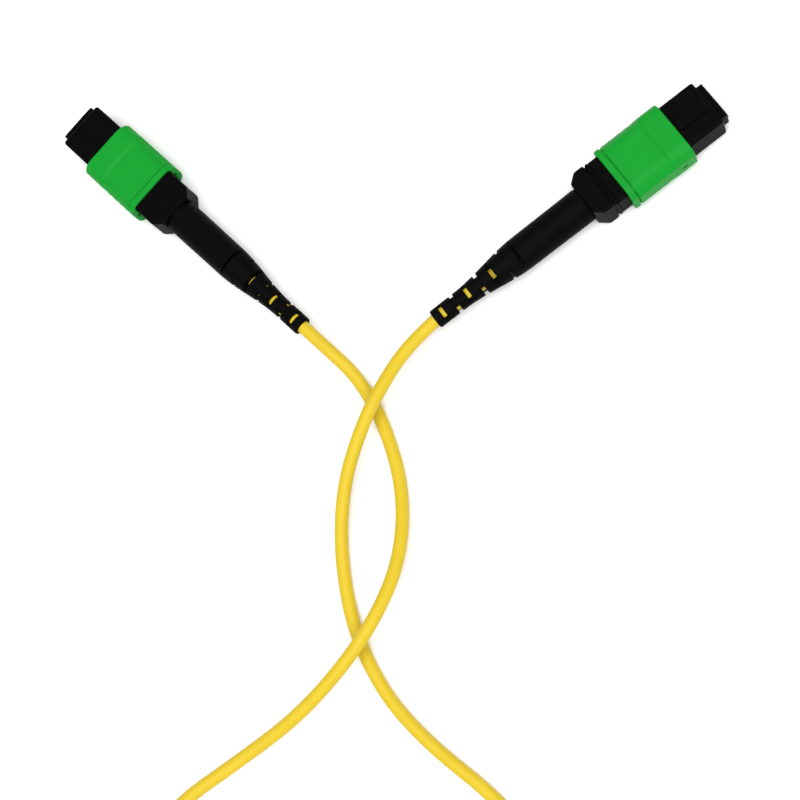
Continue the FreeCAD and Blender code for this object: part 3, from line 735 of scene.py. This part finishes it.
def make_boot():
    """The turned outside, its bore and the room for the crimp ring, then the slits cut in."""
    circle = circle_of(BOOT_AROUND)
    rear_clear, front_clear = BOOT_EDGE_CLEAR
    stations = np.concatenate((
        BOOT_END + BOOT_EDGE * edge_share(0, math.pi / 2, BOOT_EDGE_RINGS),
        np.arange(BOOT_END + rear_clear, SLIT_FIRST + SLITTED_FRONT, SLITTED_STEP),
        np.arange(SLIT_FIRST + BARREL_REAR, BODY_REAR - front_clear, BARREL_STEP),
        BODY_REAR - BOOT_EDGE * edge_share(math.pi / 2, 0, BOOT_EDGE_RINGS)))
    rings = [boot_ring(x, circle) for x in stations]
    rings += [ring_at(BODY_REAR, circle * BOOT_ROOM), ring_at(BOOT_ROOM_END, circle * BOOT_ROOM),
              ring_at(BOOT_ROOM_END, circle * BOOT_BORE), ring_at(BOOT_END, circle * BOOT_BORE)]
    reach = 2 * BOOT_RADIUS
    cuts = []
    for place, width, floor, facing in slit_rows():
        rear, front = place - width / 2, place + width / 2
        for low, high in ((floor, reach), (-reach, -floor)):
            span = (-reach, reach, low, high) if facing else (low, high, -reach, reach)
            cuts.append(block(rear, front, *span))
    return cut_away(solid("boot", *loft(rings, closed=True)), cuts)


# ---------------------------------------------------------------- springs and fibre tips
def spring_mesh(rear, length, diameter, wire, turns, offset=0.0):
    """A round wire wound about a line beside the axis."""
    radius, thin = (diameter - wire) / 2, wire / 2
    steps = TURN_STEPS * turns
    section = circle_of(WIRE_SIDES)
    rings = []
    for share in np.linspace(0, 1, steps + 1):
        angle = 2 * math.pi * turns * share
        x = rear + thin + (length - wire) * share
        out = np.array((0, math.cos(angle), math.sin(angle)))
        centre = np.array((x, offset, 0)) + radius * out
        across, along = np.outer(section[:, 0], out), np.outer(section[:, 1], (1, 0, 0))
        rings.append(centre + thin * (across + along))
    return loft(rings, closed=False)


def make_side_springs():
    """The two springs in the sleeve's channels, as one piece."""
    wound = [spring_mesh(**SIDE_SPRING, offset=side * SIDE_SPRING_LINE) for side in (-1, 1)]
    return solid("side_springs", *several(wound))


def make_main_spring():
    return solid("main_spring", *spring_mesh(**MAIN_SPRING))


def make_fibre_tips():
    """The polished ends of the twelve fibres, in one row across the slanted face."""
    circle = FIBRE_RADIUS * circle_of(FIBRE_SIDES)
    tips = []
    for index in range(FIBRES):
        middle = np.array(((index - (FIBRES - 1) / 2) * FIBRE_PITCH, 0))
        rings = [ring_at(-FIBRE_SUNK, middle + circle),
                 ring_at(FIBRE_POLISH * FIBRE_PROUD, middle + circle),
                 ring_at(FIBRE_PROUD, middle + FIBRE_POLISH * circle)]
        tips.append(loft(rings, closed=False))
    made = solid("fibre_tips", *several(tips))
    slanted = Matrix.Rotation(-FACE_SLANT, 4, "Y")
    made.data.transform(Matrix.Translation((FERRULE_FACE, 0, 0)) @ slanted)
    return made


# ---------------------------------------------------------------- materials
CLOUD_DETAIL = 3.0
GRAIN_DETAIL = 2.0
# How much finer the clouds of gloss are than those of colour.
GLOSS_FINER = 3


def link(tree, out_node, out_name, in_node, in_name):
    tree.links.new(out_node.outputs[out_name], in_node.inputs[in_name])


def add_noise(tree, where, scale, detail=CLOUD_DETAIL):
    noise = tree.nodes.new("ShaderNodeTexNoise")
    noise.inputs["Scale"].default_value = scale
    noise.inputs["Detail"].default_value = detail
    link(tree, where, "Object", noise, "Vector")
    return noise


def finish(name, dark, light, roughness, cloud=350.0, grain=9000.0, relief=0.000006, specular=0.5,
           metallic=0.0, strength=0.35):
    """A surface with cloudy colour, uneven gloss and a fine moulded or drawn grain."""
    made = bpy.data.materials.new(name)
    made.use_nodes = True
    tree = made.node_tree
    shader = tree.nodes["Principled BSDF"]
    shader.inputs["Specular IOR Level"].default_value = specular
    shader.inputs["Metallic"].default_value = metallic
    where = tree.nodes.new("ShaderNodeTexCoord")
    mix = tree.nodes.new("ShaderNodeMix")
    mix.data_type = "RGBA"
    mix.inputs["A"].default_value = (*dark, 1)
    mix.inputs["B"].default_value = (*light, 1)
    link(tree, add_noise(tree, where, cloud), "Fac", mix, "Factor")
    link(tree, mix, "Result", shader, "Base Color")
    gloss = tree.nodes.new("ShaderNodeMapRange")
    gloss.inputs["To Min"].default_value = roughness[0]
    gloss.inputs["To Max"].default_value = roughness[1]
    link(tree, add_noise(tree, where, cloud * GLOSS_FINER), "Fac", gloss, "Value")
    link(tree, gloss, "Result", shader, "Roughness")
    bump = tree.nodes.new("ShaderNodeBump")
    bump.inputs["Strength"].default_value = strength
    bump.inputs["Distance"].default_value = relief
    link(tree, add_noise(tree, where, grain, GRAIN_DETAIL), "Fac", bump, "Height")
    link(tree, bump, "Normal", shader, "Normal")
    return made


FINISHES = {
    "sleeve_green": ((0.0045, 0.228, 0.0185), (0.0065, 0.257, 0.0235), (0.34, 0.44),
                     dict(specular=0.06)),
    "housing_black": ((0.0016, 0.0016, 0.0017), (0.0028, 0.0028, 0.003), (0.32, 0.42),
                      dict(specular=0.015)),
    "body_black": ((0.0013, 0.0013, 0.0013), (0.0022, 0.0022, 0.0022), (0.34, 0.44),
                   dict(specular=0.02)),
    "boot_black": ((0.0016, 0.0016, 0.0016), (0.0028, 0.0028, 0.0028), (0.42, 0.54),
                   dict(grain=6000.0, relief=0.00001, specular=0.018)),
    "ferrule_grey": ((0.012, 0.012, 0.013), (0.035, 0.035, 0.037), (0.25, 0.4),
                     dict(cloud=14000.0, grain=20000.0)),
    "keeper_black": ((0.008, 0.008, 0.008), (0.014, 0.014, 0.014), (0.4, 0.5), {}),
    "soft_sleeve": ((0.02, 0.02, 0.023), (0.035, 0.035, 0.04), (0.6, 0.75), {}),
    "fibre_coat": ((0.6, 0.56, 0.44), (0.72, 0.68, 0.56), (0.15, 0.25), dict(cloud=2000.0)),
    "spring_steel": ((0.5, 0.5, 0.52), (0.66, 0.66, 0.68), (0.2, 0.34),
                     dict(cloud=3000.0, metallic=1.0)),
    "crimp_metal": ((0.56, 0.53, 0.45), (0.7, 0.67, 0.58), (0.25, 0.4),
                    dict(cloud=900.0, metallic=1.0)),
    "jacket_yellow": ((0.52, 0.37, 0.01), (0.58, 0.425, 0.014), (0.42, 0.55),
                      dict(cloud=260.0, grain=5000.0, relief=0.000012, specular=0.25)),
}


def make_materials():
    return {slot: finish(slot, dark, light, roughness, **more)
            for slot, (dark, light, roughness, more) in FINISHES.items()}


# ---------------------------------------------------------------- setting the pieces out
# For each drawn piece: its builder, the CAD node it stands for, its body and its material slot.
DRAWN = {
    "sleeve": (make_sleeve, "coupling_sleeve", "sleeve_{}", "sleeve_green"),
    "housing": (make_housing, "plug_housing", "cord_set", "housing_black"),
    "back_body": (make_back_body, "back_body", "cord_set", "body_black"),
    "boot": (make_boot, "strain_boot", "cord_set", "boot_black"),
    "side_springs": (make_side_springs, "sleeve_springs", "cord_set", "spring_steel"),
    "main_spring": (make_main_spring, "main_spring", "cord_set", "spring_steel"),
    "fibre_tips": (make_fibre_tips, None, "ferrule_{}", "fibre_coat"),
}
# The least angle in degrees between two faces that stay sharp where they meet.
CREASE = 38
SLEEVE_CREASE = 14
# For each spring: the joint that squashes it, its fixed end and how much of its length is left.
SPRINGS = {
    "side_springs": ("sleeve_{}_slide", SIDE_SPRING["rear"],
                     1 - SLEEVE_TRAVEL / SIDE_SPRING["length"]),
    "main_spring": ("ferrule_{}_float", MAIN_SPRING["rear"],
                    1 - FERRULE_FLOAT / MAIN_SPRING["length"]),
}


def set_out(name, materials):
    """One drawn piece, placed on both plugs, in place of its CAD nodes."""
    make, node, body, slot = DRAWN[name]
    drawn = make()
    mesh = drawn.data
    bpy.data.objects.remove(drawn)
    mesh.transform(Matrix.Scale(MM, 4))
    mesh.shade_smooth()
    mesh.set_sharp_from_angle(angle=math.radians(SLEEVE_CREASE if name == "sleeve" else CREASE))
    mesh.materials.clear()
    mesh.materials.append(materials[slot])
    for letter in LETTERS:
        piece = bpy.data.objects.new(f"{name}_{letter}", mesh)
        bpy.context.scene.collection.objects.link(piece)
        piece.modifiers.new("normals", "WEIGHTED_NORMAL").keep_sharp = True
        piece.matrix_world = PLUG_FRAMES[letter]
        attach(piece, body.format(letter))
        if node:
            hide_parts(f"{node}_{letter}")
        if name in SPRINGS:
            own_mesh(piece)


def dress_nodes(materials):
    """The CAD nodes that stay get their slot's material, and the ferrules small rounded edges."""
    slots = {row["node"]: row["material_slot"] for row in frame["record"]["subparts"]}
    for name, node in frame["nodes"].items():
        node.data.materials.clear()
        node.data.materials.append(materials[slots[name]])
    for letter in LETTERS:
        edge = frame["nodes"][f"ferrule_{letter}"].modifiers.new("edge", "BEVEL")
        edge.width = FERRULE_EDGE * MM
        edge.segments = 2
        edge.limit_method = "ANGLE"
        edge.angle_limit = FERRULE_EDGE_ANGLE


# ---------------------------------------------------------------- surroundings
FLOOR_REACH = 3.0
FLOOR_WHITE = (0.9, 0.9, 0.9)
FLOOR_ROUGHNESS = 0.9
LIGHT_PLACE = (-0.12, -0.3, 1.1)
LIGHT_TARGET = (-0.06, 0.0, 0.0)
LIGHT_SIZE = 1.3
LIGHT_POWER = 20.0
SKY_STRENGTH = 0.6


def plain(name, colour, roughness):
    """A surface of one even colour."""
    made = bpy.data.materials.new(name)
    made.use_nodes = True
    shader = made.node_tree.nodes["Principled BSDF"]
    shader.inputs["Base Color"].default_value = (*colour, 1)
    shader.inputs["Roughness"].default_value = roughness
    return made


def make_floor():
    mesh = bpy.data.meshes.new("floor")
    reach = FLOOR_REACH
    corners = [(-reach, -reach, 0), (reach, -reach, 0), (reach, reach, 0), (-reach, reach, 0)]
    mesh.from_pydata(corners, [], [(0, 1, 2, 3)])
    floor = bpy.data.objects.new("floor", mesh)
    floor.data.materials.append(plain("floor_white", FLOOR_WHITE, FLOOR_ROUGHNESS))
    bpy.context.scene.collection.objects.link(floor)


def make_studio():
    """One large soft light from above and an even white sky."""
    data = bpy.data.lights.new("key", "AREA")
    data.shape = "SQUARE"
    data.size = LIGHT_SIZE
    data.energy = LIGHT_POWER
    light = bpy.data.objects.new("key", data)
    light.location = LIGHT_PLACE
    aim = Vector(LIGHT_TARGET) - Vector(LIGHT_PLACE)
    light.rotation_euler = aim.to_track_quat("-Z", "Y").to_euler()
    bpy.context.scene.collection.objects.link(light)
    world = bpy.data.worlds.new("studio")
    world.use_nodes = True
    sky = world.node_tree.nodes["Background"]
    sky.inputs["Color"].default_value = (1, 1, 1, 1)
    sky.inputs["Strength"].default_value = SKY_STRENGTH
    bpy.context.scene.world = world
    bpy.context.scene.view_settings.view_transform = "Standard"


make_camera()
cord = make_cord()
materials = make_materials()
cord.data.materials.append(materials["jacket_yellow"])
for piece_name in DRAWN:
    set_out(piece_name, materials)
dress_nodes(materials)
make_floor()
make_studio()
